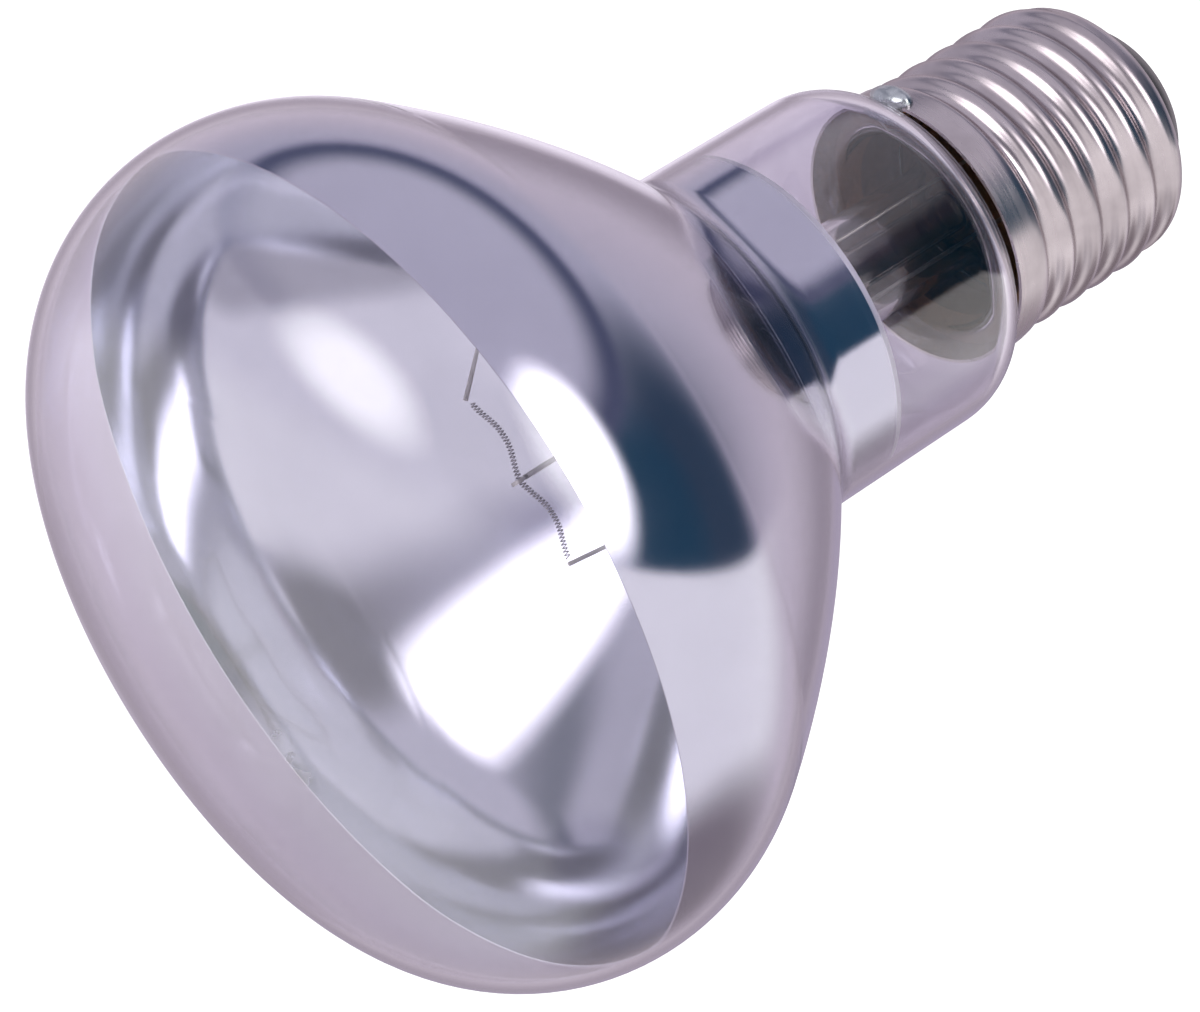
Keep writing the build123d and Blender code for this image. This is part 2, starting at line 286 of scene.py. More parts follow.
# Insulator: turned round its eye, with the bulge that shows below the shell
insulator = section_from("glass_insulator", insulator_eye, contact_thickness)
run(insulator_nose - insulator_eye, 0)
mouth_x = shell_mouth - seat_gap
insulator_x = root_radius - sheet - seat_gap
chord_x, chord_z = mouth_x - insulator_nose, shell_bottom - contact_thickness
chord = sqrt(chord_x**2 + chord_z**2)
bulge_radius = (chord**2 / 4 + insulator_bulge**2) / (2 * insulator_bulge)
reach = bulge_radius - insulator_bulge
bulge_centre = (
    insulator_nose + chord_x / 2 - reach * chord_z / chord,
    contact_thickness + chord_z / 2 + reach * chord_x / chord,
)
arc(bulge_centre, 2 * degrees(asin(chord / 2 / bulge_radius)), 12)
run(0, sheet + seat_gap)
run(insulator_x - mouth_x, shell_end_round - sheet + seat_gap)
run(0, insulator_top - shell_bottom - shell_end_round - 2 * seat_gap)
run(insulator_eye - insulator_x, 0)
run(0, contact_thickness - insulator_top)
cap_steps = 96
turned(cap_steps)
finish_piece(insulator, "cap_insulator", smooth=30)

# Contact plate, with a rounded edge and a shallow dish round its eye
dish_width, dish_depth = 0.6, 0.15
contact = section_from("contact_plate", contact_eye, contact_thickness)
run(0, -contact_thickness + dish_depth)
run(dish_width, -dish_depth, steps=2)
run(contact_radius - contact_edge - contact_eye - dish_width, 0, steps=3)
arc((contact_radius - contact_edge, contact_edge), 90, 6)
run(0, contact_thickness - contact_edge)
run(contact_eye - contact_radius, 0, steps=3)
turned(cap_steps)
finish_piece(contact, "centre_contact", smooth=30)

# Stem: the flare that closes the tail and its tube, with the flattened press on top
stem_steps = 64
flare_edge = tail_radius - glass_wall - seat_gap
flare = (stem_radius + flare_radius, tail_bottom + stem_wall + flare_radius)
flare_turn = degrees(acos((flare[0] - flare_edge) / flare_radius))
lower_turn = degrees(acos((flare[0] - flare_edge) / (flare_radius + stem_wall)))
stem = section_from("glass_stem", stem_radius, press_bottom)
run(0, flare[1] - press_bottom, steps=4)
arc(flare, flare_turn, 12)
lower_sweep = (flare_radius + stem_wall) * sin(radians(lower_turn))
run(0, flare_radius * sin(radians(flare_turn)) - lower_sweep)
arc(flare, -lower_turn, 12)
run(0, press_bottom - flare[1], steps=4)
run(stem_wall, 0)
turned(stem_steps)
finish_piece(stem, "stem")

# Press: a round rod that is pinched flat, more and more over the lower half of its height
press_height, press_round = press_top - press_bottom, 0.5
pinched_wide, pinched_thin = press_width / 2 / stem_radius, press_thickness / 2 / stem_radius
pinch_levels = [
    (press_bottom + rise * press_height, share)
    for rise, share in ((0.125, 0.2), (0.25, 0.6), (0.375, 0.92), (0.5, 1), (0.75, 1), (1, 1))
]
bpy.ops.object.select_all(action="DESELECT")
bpy.ops.mesh.primitive_cylinder_add(
    vertices=stem_steps, radius=stem_radius * MM, depth=press_height * MM,
    location=(0, 0, (press_top + press_bottom) / 2 * MM),
)
press = bpy.context.object
press.name = "stem_press"
bpy.ops.object.transform_apply(location=True)
edit(press)
for level, _ in pinch_levels[:-1]:
    bpy.ops.mesh.select_all(action="SELECT")
    bpy.ops.mesh.bisect(plane_co=(0, 0, level * MM), plane_no=(0, 0, 1))
for level, share in pinch_levels:
    pick_ring(press, level)
    pinch = (1 + share * (pinched_wide - 1), 1 + share * (pinched_thin - 1), 1)
    bpy.ops.transform.resize(value=pinch, center_override=(0, 0, 0))
bpy.ops.object.mode_set(mode="OBJECT")
press_edge = press.modifiers.new("press_edge", "BEVEL")
press_edge.width, press_edge.segments, press_edge.limit_method = press_round * MM, 3, "ANGLE"
press_edge.angle_limit = radians(50)
apply_all(press)
bpy.ops.object.shade_smooth_by_angle(angle=radians(40))
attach(press, "root")

# Filament: an open coil of fine wire along the lamp's X axis, sagging on both sides of its support
coil_wire, coil_pitch, coil_sag, coil_steps = 0.06, 0.3, 1.0, 14
bpy.ops.object.select_all(action="DESELECT")
bpy.ops.mesh.primitive_circle_add(vertices=6, radius=coil_wire * MM)
coil = bpy.context.object
coil.name = coil.data.name = "filament_coil"
edit(coil)
bpy.ops.transform.translate(
    value=((coil_wire - filament_length / 2) * MM, (filament_radius - coil_wire) * MM, 0)
)
bpy.ops.object.mode_set(mode="OBJECT")
coil_turns = round((filament_length - 2 * coil_wire) / coil_pitch)
winding = coil.modifiers.new("winding", "SCREW")
winding.axis, winding.angle, winding.screw_offset = "X", radians(360), coil_pitch * MM
winding.iterations, winding.steps, winding.render_steps = coil_turns, coil_steps, coil_steps
apply_all(coil)
edit(coil)
bpy.ops.mesh.select_all(action="SELECT")
bpy.ops.mesh.remove_doubles(threshold=weld * MM)
bpy.ops.mesh.normals_make_consistent(inside=False)
bpy.ops.transform.translate(value=(0, 0, filament_height * MM))
for side in (-1, 1):
    bpy.ops.mesh.select_all(action="DESELECT")
    mesh = bmesh.from_edit_mesh(coil.data)
    for point in mesh.verts:
        if abs(point.co.x - side * filament_length / 4 * MM) < coil_pitch * MM:
            point.select = True
    mesh.select_flush(True)
    bmesh.update_edit_mesh(coil.data)
    bpy.ops.transform.translate(
        value=(0, 0, -coil_sag * MM), use_proportional_edit=True, proportional_edit_falloff="SMOOTH",
        proportional_size=filament_length / 4 * MM,
    )
finish_piece(coil, "filament", smooth=80)


def lead(name, points, node):
    """A bare wire, bent at each point in turn; it is drawn thinner than in the solid model."""
    wire_radius = 0.22
    path = bpy.data.curves.new(name, "CURVE")
    path.dimensions, path.bevel_depth, path.bevel_resolution = "3D", wire_radius * MM, 3
    path.use_fill_caps = True
    line = path.splines.new("POLY")
    line.points.add(len(points) - 1)
    for place, point in zip(line.points, points):
        place.co = (*(Vector(point) * MM), 1)
    wire = bpy.data.objects.new(name, path)
    bpy.context.scene.collection.objects.link(wire)
    bpy.ops.object.select_all(action="DESELECT")
    bpy.context.view_layer.objects.active = wire
    wire.select_set(True)
    bpy.ops.object.convert(target="MESH")
    finish_piece(wire, node, smooth=50)
    return wire


# Leads: each ends beside the filament, is gathered in the press and goes on to its end of the cap
lead_x, lead_gather, lead_crossing, lead_bend, tip_gap = 3.1, 59.0, 17.3, 1.6, 0.1
lead_tip = filament_length / 2 + tip_gap + lead_radius
shell_spread, shell_drop, centre_spread, centre_drop = 3.4, 3.6, 0.6, 5.0
to_rim = Matrix.Rotation(radians(solder_azimuth), 3, "Z")
rim_lead_x, rim_bend, rim_lead_end = 11.25, 0.6, rim_height - lead_radius
shell_lead = lead(
    "shell_lead",
    [
        (lead_tip, 0, filament_height + lead_radius),
        (lead_tip + shell_spread, 0, filament_height - shell_drop),
        (lead_x, 0, lead_gather),
        (lead_x, 0, lead_crossing),
        to_rim @ Vector((rim_lead_x, 0, lead_crossing)),
        to_rim @ Vector((rim_lead_x, 0, rim_lead_end - rim_bend)),
        to_rim @ Vector((collar_radius - sheet - lead_radius - seat_gap, 0, rim_lead_end)),
    ],
    "shell_lead_wire",
)
centre_lead = lead(
    "centre_lead",
    [
        (-lead_tip, 0, filament_height + lead_radius),
        (-lead_tip - centre_spread, 0, filament_height - centre_drop),
        (-lead_x, 0, lead_gather),
        (-lead_x, 0, tail_bottom - lead_bend),
        (0, 0, insulator_top + lead_bend),
        (0, 0, contact_thickness / 2 + seat_gap),
    ],
    "centre_lead_wire",
)

# Basing cement: it fills the gap between tail and shell, and flares under the rim
cement_bottom, cement_wall, cement_rise, cement_flare = 22.0, 3.2, 0.8, 1.1
cement_in, cement_out = tail_radius + seat_gap, root_radius - sheet - seat_gap
ring = section_from("basing_cement_ring", cement_in, cement_bottom)
run(cement_out - cement_in, 0)
run(0, cement_wall, steps=3)
run(cement_flare, cement_rise, steps=3)
run(cement_in - cement_out - cement_flare, 0, steps=3)
run(0, -cement_wall - cement_rise, steps=3)
turned(cap_steps)
finish_piece(ring, "basing_cement", smooth=30)

# Solder that joins the lead to the rim: a drawn-out, uneven blob
skin_room, skin_depth = 0.94, 0.16
solder_stretch = solder_length / 2 / solder_radius
bpy.ops.object.select_all(action="DESELECT")
bpy.ops.mesh.primitive_uv_sphere_add(segments=32, ring_count=20, radius=solder_radius * MM)
blob = bpy.context.object
blob.name = blob.data.name = "rim_solder"
edit(blob)
bpy.ops.mesh.select_all(action="SELECT")
drawn_out = (skin_room, solder_stretch * skin_room, skin_room)
bpy.ops.transform.resize(value=drawn_out, center_override=(0, 0, 0))
bpy.ops.transform.vertex_random(offset=skin_depth * MM, uniform=1.0, normal=0.0, seed=4)
bpy.ops.mesh.vertices_smooth(factor=0.5, repeat=3)
bpy.ops.transform.translate(value=(collar_radius * MM, 0, (rim_height - solder_drop) * MM))
bpy.ops.transform.rotate(value=radians(-solder_azimuth), orient_axis="Z", center_override=(0, 0, 0))
finish_piece(blob, "side_solder", smooth=180)


def linear(code):
    """An sRGB hex colour as linear red, green, blue and full alpha."""
    parts = [int(code[i : i + 2], 16) / 255 for i in (1, 3, 5)]
    return [c / 12.92 if c < 0.04045 else ((c + 0.055) / 1.055) ** 2.4 for c in parts] + [1.0]


def node(tree, kind, inputs, **settings):
    """Add one node: its settings, then each input as a value or as a link from another node's socket."""
    made = tree.nodes.new(kind)
    for name, value in settings.items():
        setattr(made, name, value)
    for name, value in inputs.items():
        if isinstance(value, bpy.types.NodeSocket):
            tree.links.new(value, made.inputs[name])
        else:
            made.inputs[name].default_value = value
    return made


def material(name):
    """An empty node material; returns it, its node tree and its output node."""
    made = bpy.data.materials.new(name)
    made.use_nodes = True
    made.node_tree.nodes.clear()
    return made, made.node_tree, made.node_tree.nodes.new("ShaderNodeOutputMaterial")


def per_mm(size):
    """Texture scale at which one feature is about this many millimetres across."""
    return 1 / (size * MM)


def dress(finish, *pieces):
    """Give one material to each piece, in place of what it had."""
    for piece in pieces:
        piece.data.materials.clear()
        piece.data.materials.append(finish)


# Blown soda-lime glass, tinted mauve: clear, with slow swells left by the blowing
tinted_glass, tree, out = material("blown_mauve_glass")
place = node(tree, "ShaderNodeTexCoord", {})
swell = node(
    tree, "ShaderNodeTexNoise",
    {"Vector": place.outputs["Object"], "Scale": per_mm(16), "Detail": 1.0},
)
tint = node(
    tree, "ShaderNodeMix",
    {0: swell.outputs["Fac"], 6: linear("#E9E6EC"), 7: linear("#E3DFE7")}, data_type="RGBA",
)
relief = node(
    tree, "ShaderNodeBump",
    {"Strength": 0.04, "Distance": 0.1 * MM, "Height": swell.outputs["Fac"]},
)
glass = node(
    tree,
    "ShaderNodeBsdfPrincipled",
    {
        "Base Color": tint.outputs[2], "Roughness": 0.0, "IOR": 1.52, "Transmission Weight": 1.0,
        "Normal": relief.outputs["Normal"],
    },
)
tree.links.new(glass.outputs["BSDF"], out.inputs["Surface"])
dress(tinted_glass, bulb)

# Aluminium film, condensed on the glass from vapour: a mirror, clouded a little in patches.
# It is dull along its edge in the neck, where it is also painted pale as a painted highlight line, and
# dull in specks on one side of its front edge
highlight_line, highlight_line_end = 0.3, 0.6
speck_band, speck_band_end, speck_azimuth, speck_start, speck_full = 0.6, 1.6, 101, 37.4, 38.4
speck_side = (cos(radians(speck_azimuth)), sin(radians(speck_azimuth)), 0)
aluminium_film, tree, out = material("vapour_aluminium_film")
place = node(tree, "ShaderNodeTexCoord", {})
cloud = node(
    tree, "ShaderNodeTexNoise",
    {"Vector": place.outputs["Object"], "Scale": per_mm(7), "Detail": 4.0},
)
shade = node(
    tree, "ShaderNodeMix",
    {0: cloud.outputs["Fac"], 6: linear("#DCDEE5"), 7: linear("#D0D2DA")}, data_type="RGBA",
)
axes = node(tree, "ShaderNodeSeparateXYZ", {"Vector": place.outputs["Object"]})
# Painted highlight: a pale line along the film's edge in the neck
neck_highlight = node(
    tree, "ShaderNodeMapRange",
    {
        "Value": axes.outputs["Z"],
        "From Min": (film_bottom + highlight_line_end) * MM, "From Max": (film_bottom + highlight_line) * MM,
    },
)
speck = node(
    tree, "ShaderNodeTexNoise",
    {"Vector": place.outputs["Object"], "Scale": per_mm(2.2), "Detail": 2.0},
)
spots = node(
    tree, "ShaderNodeMapRange",
    {"Value": speck.outputs["Fac"], "From Min": 0.6, "From Max": 0.68},
)
front_edge = node(
    tree, "ShaderNodeMapRange",
    {
        "Value": axes.outputs["Z"],
        "From Min": (film_top - speck_band_end) * MM, "From Max": (film_top - speck_band) * MM,
    },
)
flank = node(
    tree, "ShaderNodeVectorMath",
    {0: place.outputs["Object"], 1: speck_side}, operation="DOT_PRODUCT",
)
near_side = node(
    tree, "ShaderNodeMapRange",
    {"Value": flank.outputs["Value"], "From Min": speck_start * MM, "From Max": speck_full * MM},
)
front_spots = node(
    tree, "ShaderNodeMath",
    {0: spots.outputs["Result"], 1: front_edge.outputs["Result"]}, operation="MULTIPLY",
)
front_spots = node(
    tree, "ShaderNodeMath",
    {0: front_spots.outputs[0], 1: near_side.outputs["Result"]}, operation="MULTIPLY",
)
# Where the film turns pale and rough: along the neck edge this is a painted highlight line, on the front
# edge real dull specks
dull = node(
    tree, "ShaderNodeMath",
    {0: neck_highlight.outputs["Result"], 1: front_spots.outputs[0]}, operation="MAXIMUM",
)
# The film's colour, painted pale for the highlight line in the neck and for the specks
shade = node(
    tree, "ShaderNodeMix",
    {0: dull.outputs[0], 6: shade.outputs[2], 7: linear("#F6F5FA")}, data_type="RGBA",
)
haze = node(tree, "ShaderNodeMapRange", {"Value": cloud.outputs["Fac"], "To Min": 0.07, "To Max": 0.14})
gloss = node(
    tree, "ShaderNodeMapRange",
    {"Value": dull.outputs[0], "To Min": haze.outputs["Result"], "To Max": 0.7},
)
wave = node(
    tree, "ShaderNodeTexNoise",
    {"Vector": place.outputs["Object"], "Scale": per_mm(22), "Detail": 0.0},
)
relief = node(
    tree, "ShaderNodeBump",
    {"Strength": 0.05, "Distance": 0.4 * MM, "Height": wave.outputs["Fac"]},
)
mirror = node(
    tree,
    "ShaderNodeBsdfPrincipled",
    {
        "Base Color": shade.outputs[2], "Metallic": 1.0, "Roughness": gloss.outputs["Result"],
        "Normal": relief.outputs["Normal"],
    },
)
tree.links.new(mirror.outputs["BSDF"], out.inputs["Surface"])
dress(aluminium_film, film)

# Lead glass of the stem: clear, faintly grey, drawn and pinched hot
lead_glass, tree, out = material("drawn_lead_glass")
place = node(tree, "ShaderNodeTexCoord", {})
draw = node(
    tree, "ShaderNodeTexNoise",
    {"Vector": place.outputs["Object"], "Scale": per_mm(4), "Detail": 2.0},
)
tint = node(
    tree, "ShaderNodeMix",
    {0: draw.outputs["Fac"], 6: linear("#F3F2EE"), 7: linear("#E6E5E2")}, data_type="RGBA",
)
relief = node(
    tree, "ShaderNodeBump",
    {"Strength": 0.2, "Distance": 0.1 * MM, "Height": draw.outputs["Fac"]},
)
glass = node(
    tree,
    "ShaderNodeBsdfPrincipled",
    {
        "Base Color": tint.outputs[2], "Roughness": 0.03, "IOR": 1.56, "Transmission Weight": 1.0,
        "Normal": relief.outputs["Normal"],
    },
)
tree.links.new(glass.outputs["BSDF"], out.inputs["Surface"])
dress(lead_glass, stem, press, nodes["exhaust_tube"])


def metal(name, bright, dull, size, smooth, rough, dent):
    """A metal whose colour and polish change together over patches of one size, in millimetres."""
    made, tree, out = material(name)
    place = node(tree, "ShaderNodeTexCoord", {})
    patch = node(
        tree, "ShaderNodeTexNoise",
        {"Vector": place.outputs["Object"], "Scale": per_mm(size), "Detail": 5.0},
    )
    tone = node(
        tree, "ShaderNodeMix",
        {0: patch.outputs["Fac"], 6: linear(bright), 7: linear(dull)}, data_type="RGBA",
    )
    polish = node(
        tree, "ShaderNodeMapRange",
        {"Value": patch.outputs["Fac"], "To Min": smooth, "To Max": rough},
    )
    relief = node(
        tree, "ShaderNodeBump",
        {"Strength": dent, "Distance": 0.1 * MM, "Height": patch.outputs["Fac"]},
    )
    shader = node(
        tree,
        "ShaderNodeBsdfPrincipled",
        {
            "Base Color": tone.outputs[2], "Metallic": 1.0, "Roughness": polish.outputs["Result"],
            "Normal": relief.outputs["Normal"],
        },
    )
    tree.links.new(shader.outputs["BSDF"], out.inputs["Surface"])
    return made


# Drawn wires, fairly dull: nickel leads, molybdenum support, tungsten coil, each darker than the last
drawn = {"smooth": 0.35, "rough": 0.55, "dent": 0.1}
nickel_wire = metal("drawn_nickel_wire", "#EAE6E2", "#CFC9C4", size=0.8, **drawn)
molybdenum_wire = metal("molybdenum_wire", "#DAD7D6", "#BDBAB8", size=0.6, **drawn)
tungsten_wire = metal("tungsten_wire", "#C4C0C2", "#A19DA0", size=0.5, **drawn)
dress(nickel_wire, centre_lead, shell_lead)
dress(molybdenum_wire, nodes["support_wire"])
dress(tungsten_wire, coil)

# Tin and lead solder, chilled: pale, with a grainy skin
solder = metal("chilled_solder", "#C9CCCF", "#9A9DA1", size=0.7, smooth=0.16, rough=0.42, dent=0.5)
dress(solder, blob, nodes["contact_solder"])

# Tinned contact plate, scuffed where it meets the holder
tinned_plate = metal("tinned_contact", "#C2BCB2", "#8E877E", size=1.2, smooth=0.2, rough=0.45, dent=0.2)
dress(tinned_plate, contact)

# Nickel-plated brass sheet: pinkish grey, with fine rings from the rolling and tarnish in cloudy patches
plated_brass, tree, out = material("rolled_nickel_plate")
place = node(tree, "ShaderNodeTexCoord", {})
ring_place = node(
    tree, "ShaderNodeMapping",
    {"Vector": place.outputs["Object"], "Scale": (0.04, 0.04, 1.0)},
)
rings = node(
    tree, "ShaderNodeTexNoise",
    {"Vector": ring_place.outputs["Vector"], "Scale": per_mm(0.35), "Detail": 3.0},
)
tarnish = node(
    tree, "ShaderNodeTexNoise",
    {"Vector": place.outputs["Object"], "Scale": per_mm(5), "Detail": 5.0},
)
mixed = node(
    tree, "ShaderNodeMath",
    {0: rings.outputs["Fac"], 1: tarnish.outputs["Fac"]}, operation="MULTIPLY",
)
tone = node(
    tree, "ShaderNodeMix",
    {0: tarnish.outputs["Fac"], 6: linear("#CABFC3"), 7: linear("#8F8589")}, data_type="RGBA",
)
polish = node(
    tree, "ShaderNodeMapRange",
    {"Value": mixed.outputs["Value"], "From Min": 0.1, "From Max": 0.4, "To Min": 0.22, "To Max": 0.36},
)
relief = node(
    tree, "ShaderNodeBump",
    {"Strength": 0.12, "Distance": 0.05 * MM, "Height": rings.outputs["Fac"]},
)
shader = node(
    tree,
    "ShaderNodeBsdfPrincipled",
    {
        "Base Color": tone.outputs[2], "Metallic": 1.0, "Roughness": polish.outputs["Result"],
        "Normal": relief.outputs["Normal"],
    },
)
tree.links.new(shader.outputs["BSDF"], out.inputs["Surface"])
shell.data.materials[0] = plated_brass

# Black insulator glass, pressed in a mould: dark brown-grey with a soft gloss
insulator_glass, tree, out = material("pressed_black_glass")
place = node(tree, "ShaderNodeTexCoord", {})
mould = node(
    tree, "ShaderNodeTexNoise",
    {"Vector": place.outputs["Object"], "Scale": per_mm(1.5), "Detail": 4.0},
)
tone = node(
    tree, "ShaderNodeMix",
    {0: mould.outputs["Fac"], 6: linear("#2A2628"), 7: linear("#443E3F")}, data_type="RGBA",
)
polish = node(tree, "ShaderNodeMapRange", {"Value": mould.outputs["Fac"], "To Min": 0.14, "To Max": 0.4})
relief = node(
    tree, "ShaderNodeBump",
    {"Strength": 0.25, "Distance": 0.08 * MM, "Height": mould.outputs["Fac"]},
)
shader = node(
    tree,
    "ShaderNodeBsdfPrincipled",
    {
        "Base Color": tone.outputs[2], "Roughness": polish.outputs["Result"], "IOR": 1.52,
        "Normal": relief.outputs["Normal"],
    },
)
tree.links.new(shader.outputs["BSDF"], out.inputs["Surface"])
dress(insulator_glass, insulator)

# Basing cement: marble dust and resin, baked brown, dull and grainy
cement, tree, out = material("baked_basing_cement")
place = node(tree, "ShaderNodeTexCoord", {})
grain = node(
    tree, "ShaderNodeTexNoise",
    {"Vector": place.outputs["Object"], "Scale": per_mm(0.6), "Detail": 6.0},
)
tone = node(
    tree, "ShaderNodeMix",
    {0: grain.outputs["Fac"], 6: linear("#B8875A"), 7: linear("#7A5434")}, data_type="RGBA",
)
relief = node(
    tree, "ShaderNodeBump",
    {"Strength": 0.6, "Distance": 0.2 * MM, "Height": grain.outputs["Fac"]},
)
shader = node(
    tree, "ShaderNodeBsdfPrincipled",
    {"Base Color": tone.outputs[2], "Roughness": 0.9, "Normal": relief.outputs["Normal"]},
)
tree.links.new(shader.outputs["BSDF"], out.inputs["Surface"])
dress(cement, ring)
# The same cement is smeared over the inside of the shell
shell.data.materials[1] = cement

# Camera at the photograph's place and roll
view = bpy.data.cameras.new("photo_view")
view.lens, view.sensor_width, view.sensor_fit = 114.68, 36.0, "HORIZONTAL"
camera = bpy.data.objects.new("photo_view", view)
camera.location = (0, -0.28992, 0.22876)
camera.rotation_euler = (radians(-44.8595), radians(47.7978), radians(-142.2421))
bpy.context.scene.collection.objects.link(camera)
bpy.context.scene.camera = camera
bpy.context.scene.view_settings.view_transform = "Standard"

# Studio, laid out round the camera: to the photograph's right, up, and towards the camera
lamp_middle, room_level = Vector((0, 0, 0.065)), 1.4
turn = camera.rotation_euler.to_matrix()
to_right, to_top, to_front = turn.col[0].copy(), turn.col[1].copy(), turn.col[2].copy()


def towards(side, height):
    """Direction from the lamp: degrees to the photograph's right of the camera, and degrees up."""
    side, height = radians(side), radians(height)
    return (to_right * sin(side) + to_front * cos(side)) * cos(height) + to_top * sin(height)


def only_in_reflections(piece):
    """Show a stage piece in metal and glass alone, and not to the camera."""
    piece.visible_camera = piece.visible_diffuse = piece.visible_shadow = False


# Softboxes to the right and left of the camera, brightest in the middle
for name, side, height, width, tall, roll, strength in (
    ("softbox_right", 36, 16, 0.82, 1.08, 12, 6.0),
    ("softbox_left", -41, 15, 0.96, 0.72, -14, 6.0),
):
    bpy.ops.object.select_all(action="DESELECT")
    bpy.ops.mesh.primitive_plane_add(size=2)
    box = bpy.context.object
    box.name = name
    aim = towards(side, height)
    level = to_top.cross(aim).normalized()
    upright = aim.cross(level)
    along_x = level * cos(radians(roll)) + upright * sin(radians(roll))
    along_y = upright * cos(radians(roll)) - level * sin(radians(roll))
    facing = Matrix((along_x, along_y, aim)).transposed().to_4x4()
    box.matrix_world = Matrix.Translation(lamp_middle + aim) @ facing
    box.scale = (width / 2, tall / 2, 1)
    cloth, tree, out = material(name + "_cloth")
    place = node(tree, "ShaderNodeTexCoord", {})
    spread = node(tree, "ShaderNodeVectorMath", {0: place.outputs["Object"]}, operation="LENGTH")
    fade = node(
        tree, "ShaderNodeMapRange",
        {"Value": spread.outputs["Value"], "From Min": 0.3, "From Max": 1.0, "To Min": 1.0, "To Max": 0.0},
        interpolation_type="SMOOTHSTEP",
    )
    clear = node(tree, "ShaderNodeBsdfTransparent", {})
    glow = node(tree, "ShaderNodeEmission", {"Color": linear("#FFFFFF"), "Strength": strength})
    blend = node(
        tree, "ShaderNodeMixShader",
        {0: fade.outputs["Result"], 1: clear.outputs[0], 2: glow.outputs[0]},
    )
    tree.links.new(blend.outputs[0], out.inputs["Surface"])
    dress(cloth, box)
    only_in_reflections(box)

# Room round the lamp: pale walls with darker places to the right, above and in front, and the lit table
bpy.ops.object.select_all(action="DESELECT")
bpy.ops.mesh.primitive_uv_sphere_add(segments=96, ring_count=48, radius=1.5, location=lamp_middle)
room = bpy.context.object
room.name = "studio_room"
walls, tree, out = material("studio_walls")
place = node(tree, "ShaderNodeTexCoord", {})
aim = node(tree, "ShaderNodeVectorMath", {0: place.outputs["Object"]}, operation="NORMALIZE")
tone = linear("#B9B8C6")
table_tilt, crisp_edge, soft_edge = 0.2, 0.02, 0.16
table = (to_top + table_tilt * to_front).normalized()


def painted(tone, colour, middle, none, full):
    """Paint the room's walls round one direction: no colour at none degrees from it, all at full."""
    near = node(tree, "ShaderNodeVectorMath", {0: aim.outputs[0], 1: middle}, operation="DOT_PRODUCT")
    share = node(
        tree, "ShaderNodeMapRange",
        {"Value": near.outputs["Value"], "From Min": cos(radians(none)), "From Max": cos(radians(full))},
        interpolation_type="SMOOTHSTEP",
    )
    mixed = {0: share.outputs["Result"], 6: tone, 7: linear(colour)}
    return node(tree, "ShaderNodeMix", mixed, data_type="RGBA").outputs[2]


for colour, middle, none, full in (
    ("#35475A", towards(94, 14), 44, 14),
    ("#22465C", towards(64, 8), 32, 12),
    ("#525870", towards(-4, 62), 58, 53),
    ("#C8C7D3", towards(-4, 62), 52, 40),
    ("#62606E", towards(2, 10), 30, 14),
):
    tone = painted(tone, colour, middle, none, full)
below = node(tree, "ShaderNodeVectorMath", {0: aim.outputs[0], 1: -table}, operation="DOT_PRODUCT")
crisp = node(
    tree, "ShaderNodeMapRange",
    {"Value": below.outputs["Value"], "From Min": -crisp_edge, "From Max": crisp_edge},
)
soft = node(
    tree, "ShaderNodeMapRange",
    {"Value": below.outputs["Value"], "From Min": -soft_edge, "From Max": soft_edge},
    interpolation_type="SMOOTHSTEP",
)
right = node(tree, "ShaderNodeVectorMath", {0: aim.outputs[0], 1: to_right}, operation="DOT_PRODUCT")
right = node(
    tree, "ShaderNodeMapRange",
    {"Value": right.outputs["Value"], "From Min": 0.2, "From Max": 0.6},
)
share = node(
    tree, "ShaderNodeMix",
    {0: right.outputs["Result"], 2: soft.outputs["Result"], 3: crisp.outputs["Result"]},
)
tone = node(
    tree, "ShaderNodeMix", {0: share.outputs[0], 6: tone, 7: linear("#FFFFFF")}, data_type="RGBA"
).outputs[2]
# Over wall and table alike: the wall behind, the shade beside the cap and the lamp's own shade below it
for colour, middle, none, full in (
    ("#C8BFC9", -to_front, 66, 40),
    ("#8A8288", towards(140, -48), 32, 12),
    ("#C0BFC4", towards(103, -83), 17, 6),
):
    tone = painted(tone, colour, middle, none, full)
glow = node(tree, "ShaderNodeEmission", {"Color": tone, "Strength": room_level})
tree.links.new(glow.outputs[0], out.inputs["Surface"])
dress(walls, room)
only_in_reflections(room)

# Grey drape close behind the lamp, painted darker towards the table as a painted shadow of the lamp, and
# faded out at its edge
backdrop_distance, backdrop_radius = 0.25, 0.3
bpy.ops.object.select_all(action="DESELECT")
bpy.ops.mesh.primitive_circle_add(vertices=64, radius=1, fill_type="NGON")
backdrop = bpy.context.object
backdrop.name = "backdrop"
backdrop.matrix_world = Matrix.Translation(lamp_middle - backdrop_distance * to_front) @ turn.to_4x4()
backdrop.scale = (backdrop_radius, backdrop_radius, 1)
drape, tree, out = material("grey_drape")
place = node(tree, "ShaderNodeTexCoord", {})
# Painted shadow: the drape darkens towards the table, where the lamp's shadow falls
rise = node(
    tree, "ShaderNodeVectorMath",
    {0: place.outputs["Object"], 1: (-0.5, 0.85, 0)}, operation="DOT_PRODUCT",
)
lamp_shadow_fade = node(
    tree, "ShaderNodeMapRange",
    {"Value": rise.outputs["Value"], "From Min": -0.1, "From Max": 0.25},
)
tone = node(
    tree, "ShaderNodeMix",
    {0: lamp_shadow_fade.outputs["Result"], 6: linear("#92899B"), 7: linear("#D8D0DD")}, data_type="RGBA",
)
spread = node(tree, "ShaderNodeVectorMath", {0: place.outputs["Object"]}, operation="LENGTH")
outer = node(
    tree, "ShaderNodeMapRange",
    {"Value": spread.outputs["Value"], "From Min": 0.32, "From Max": 0.46},
)
tone = node(
    tree, "ShaderNodeMix",
    {0: outer.outputs["Result"], 6: tone.outputs[2], 7: linear("#938A95")}, data_type="RGBA",
)
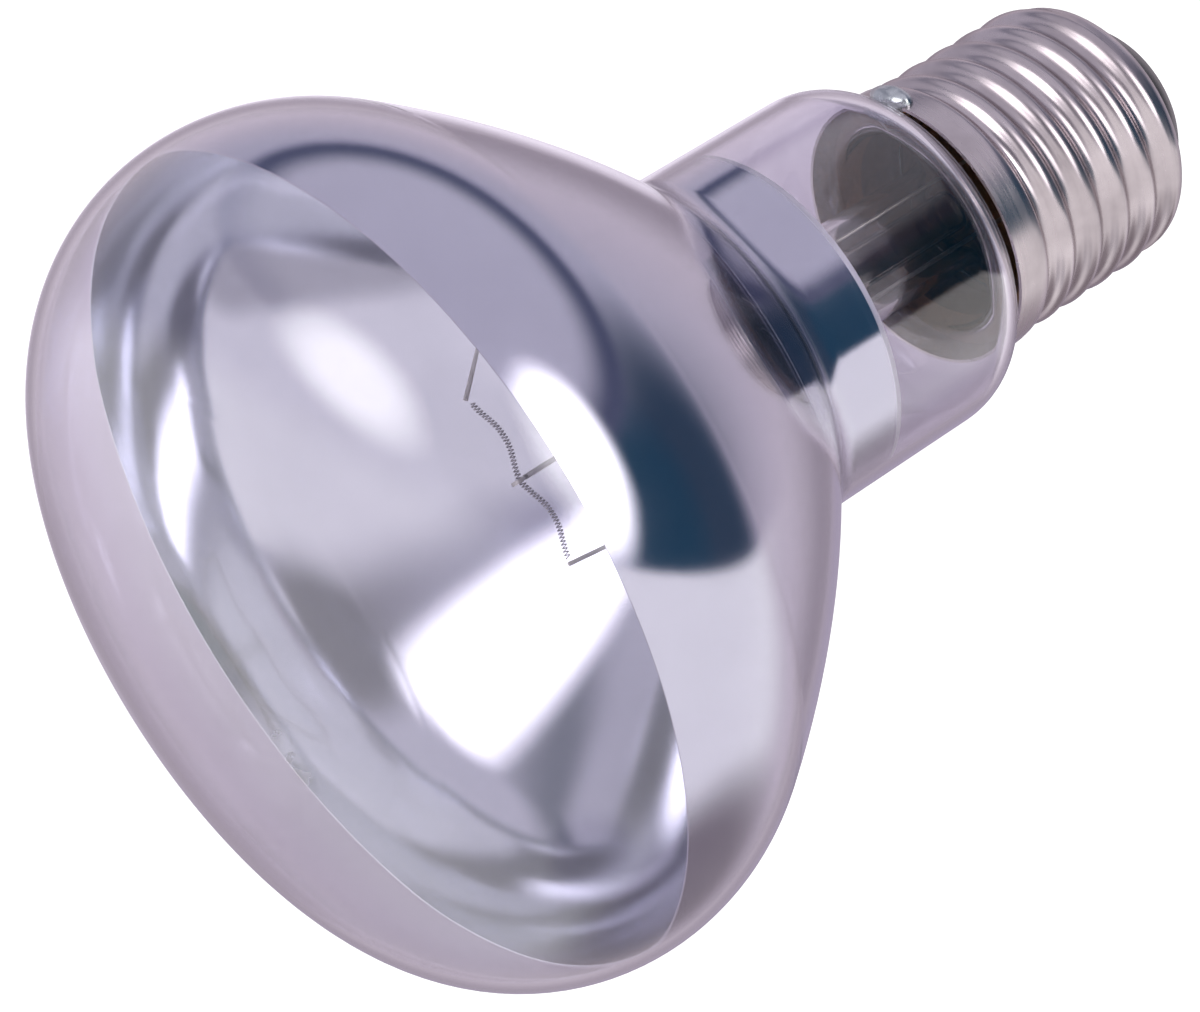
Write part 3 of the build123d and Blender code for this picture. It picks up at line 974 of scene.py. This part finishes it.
fade = node(
    tree, "ShaderNodeMapRange",
    {"Value": spread.outputs["Value"], "From Min": 0.5, "From Max": 0.9, "To Min": 1.0, "To Max": 0.0},
    interpolation_type="SMOOTHSTEP",
)
clear = node(tree, "ShaderNodeBsdfTransparent", {})
glow = node(tree, "ShaderNodeEmission", {"Color": tone.outputs[2], "Strength": room_level})
blend = node(
    tree, "ShaderNodeMixShader",
    {0: fade.outputs["Result"], 1: clear.outputs[0], 2: glow.outputs[0]},
)
tree.links.new(blend.outputs[0], out.inputs["Surface"])
dress(drape, backdrop)
only_in_reflections(backdrop)

# White floor below the lamp; it takes the lamp's shadow
floor_height = -0.15
bpy.ops.object.select_all(action="DESELECT")
bpy.ops.mesh.primitive_plane_add(size=8, location=(0, 0, floor_height))
floor = bpy.context.object
floor.name = "floor"
paper, tree, out = material("white_paper")
glow = node(tree, "ShaderNodeEmission", {"Color": linear("#FFFFFF"), "Strength": 0.65})
matt = node(tree, "ShaderNodeBsdfDiffuse", {"Color": linear("#E8E8E8")})
both = node(tree, "ShaderNodeAddShader", {0: glow.outputs[0], 1: matt.outputs[0]})
tree.links.new(both.outputs[0], out.inputs["Surface"])
dress(paper, floor)
floor.visible_glossy = floor.visible_transmission = False

# White all round for the camera, for reflections and through the glass; a plain level elsewhere
world = bpy.data.worlds.new("studio")
bpy.context.scene.world = world
world.use_nodes = True
tree = world.node_tree
tree.nodes.clear()
path = node(tree, "ShaderNodeLightPath", {})
seen = node(
    tree, "ShaderNodeMath",
    {0: path.outputs["Is Camera Ray"], 1: path.outputs["Is Glossy Ray"]}, operation="MAXIMUM",
)
seen = node(
    tree, "ShaderNodeMath",
    {0: seen.outputs[0], 1: path.outputs["Is Transmission Ray"]}, operation="MAXIMUM",
)
level = node(tree, "ShaderNodeMapRange", {"Value": seen.outputs[0], "To Min": 0.7, "To Max": 1.0})
sky = node(
    tree, "ShaderNodeBackground",
    {"Color": linear("#FFFFFF"), "Strength": level.outputs["Result"]},
)
out = node(tree, "ShaderNodeOutputWorld", {"Surface": sky.outputs[0]})

# Light passes many walls of glass and is mirrored several times inside the bulb, so its paths are long
cycles = bpy.context.scene.cycles
cycles.max_bounces, cycles.glossy_bounces, cycles.transmission_bounces = 24, 12, 20
cycles.transparent_max_bounces = 12
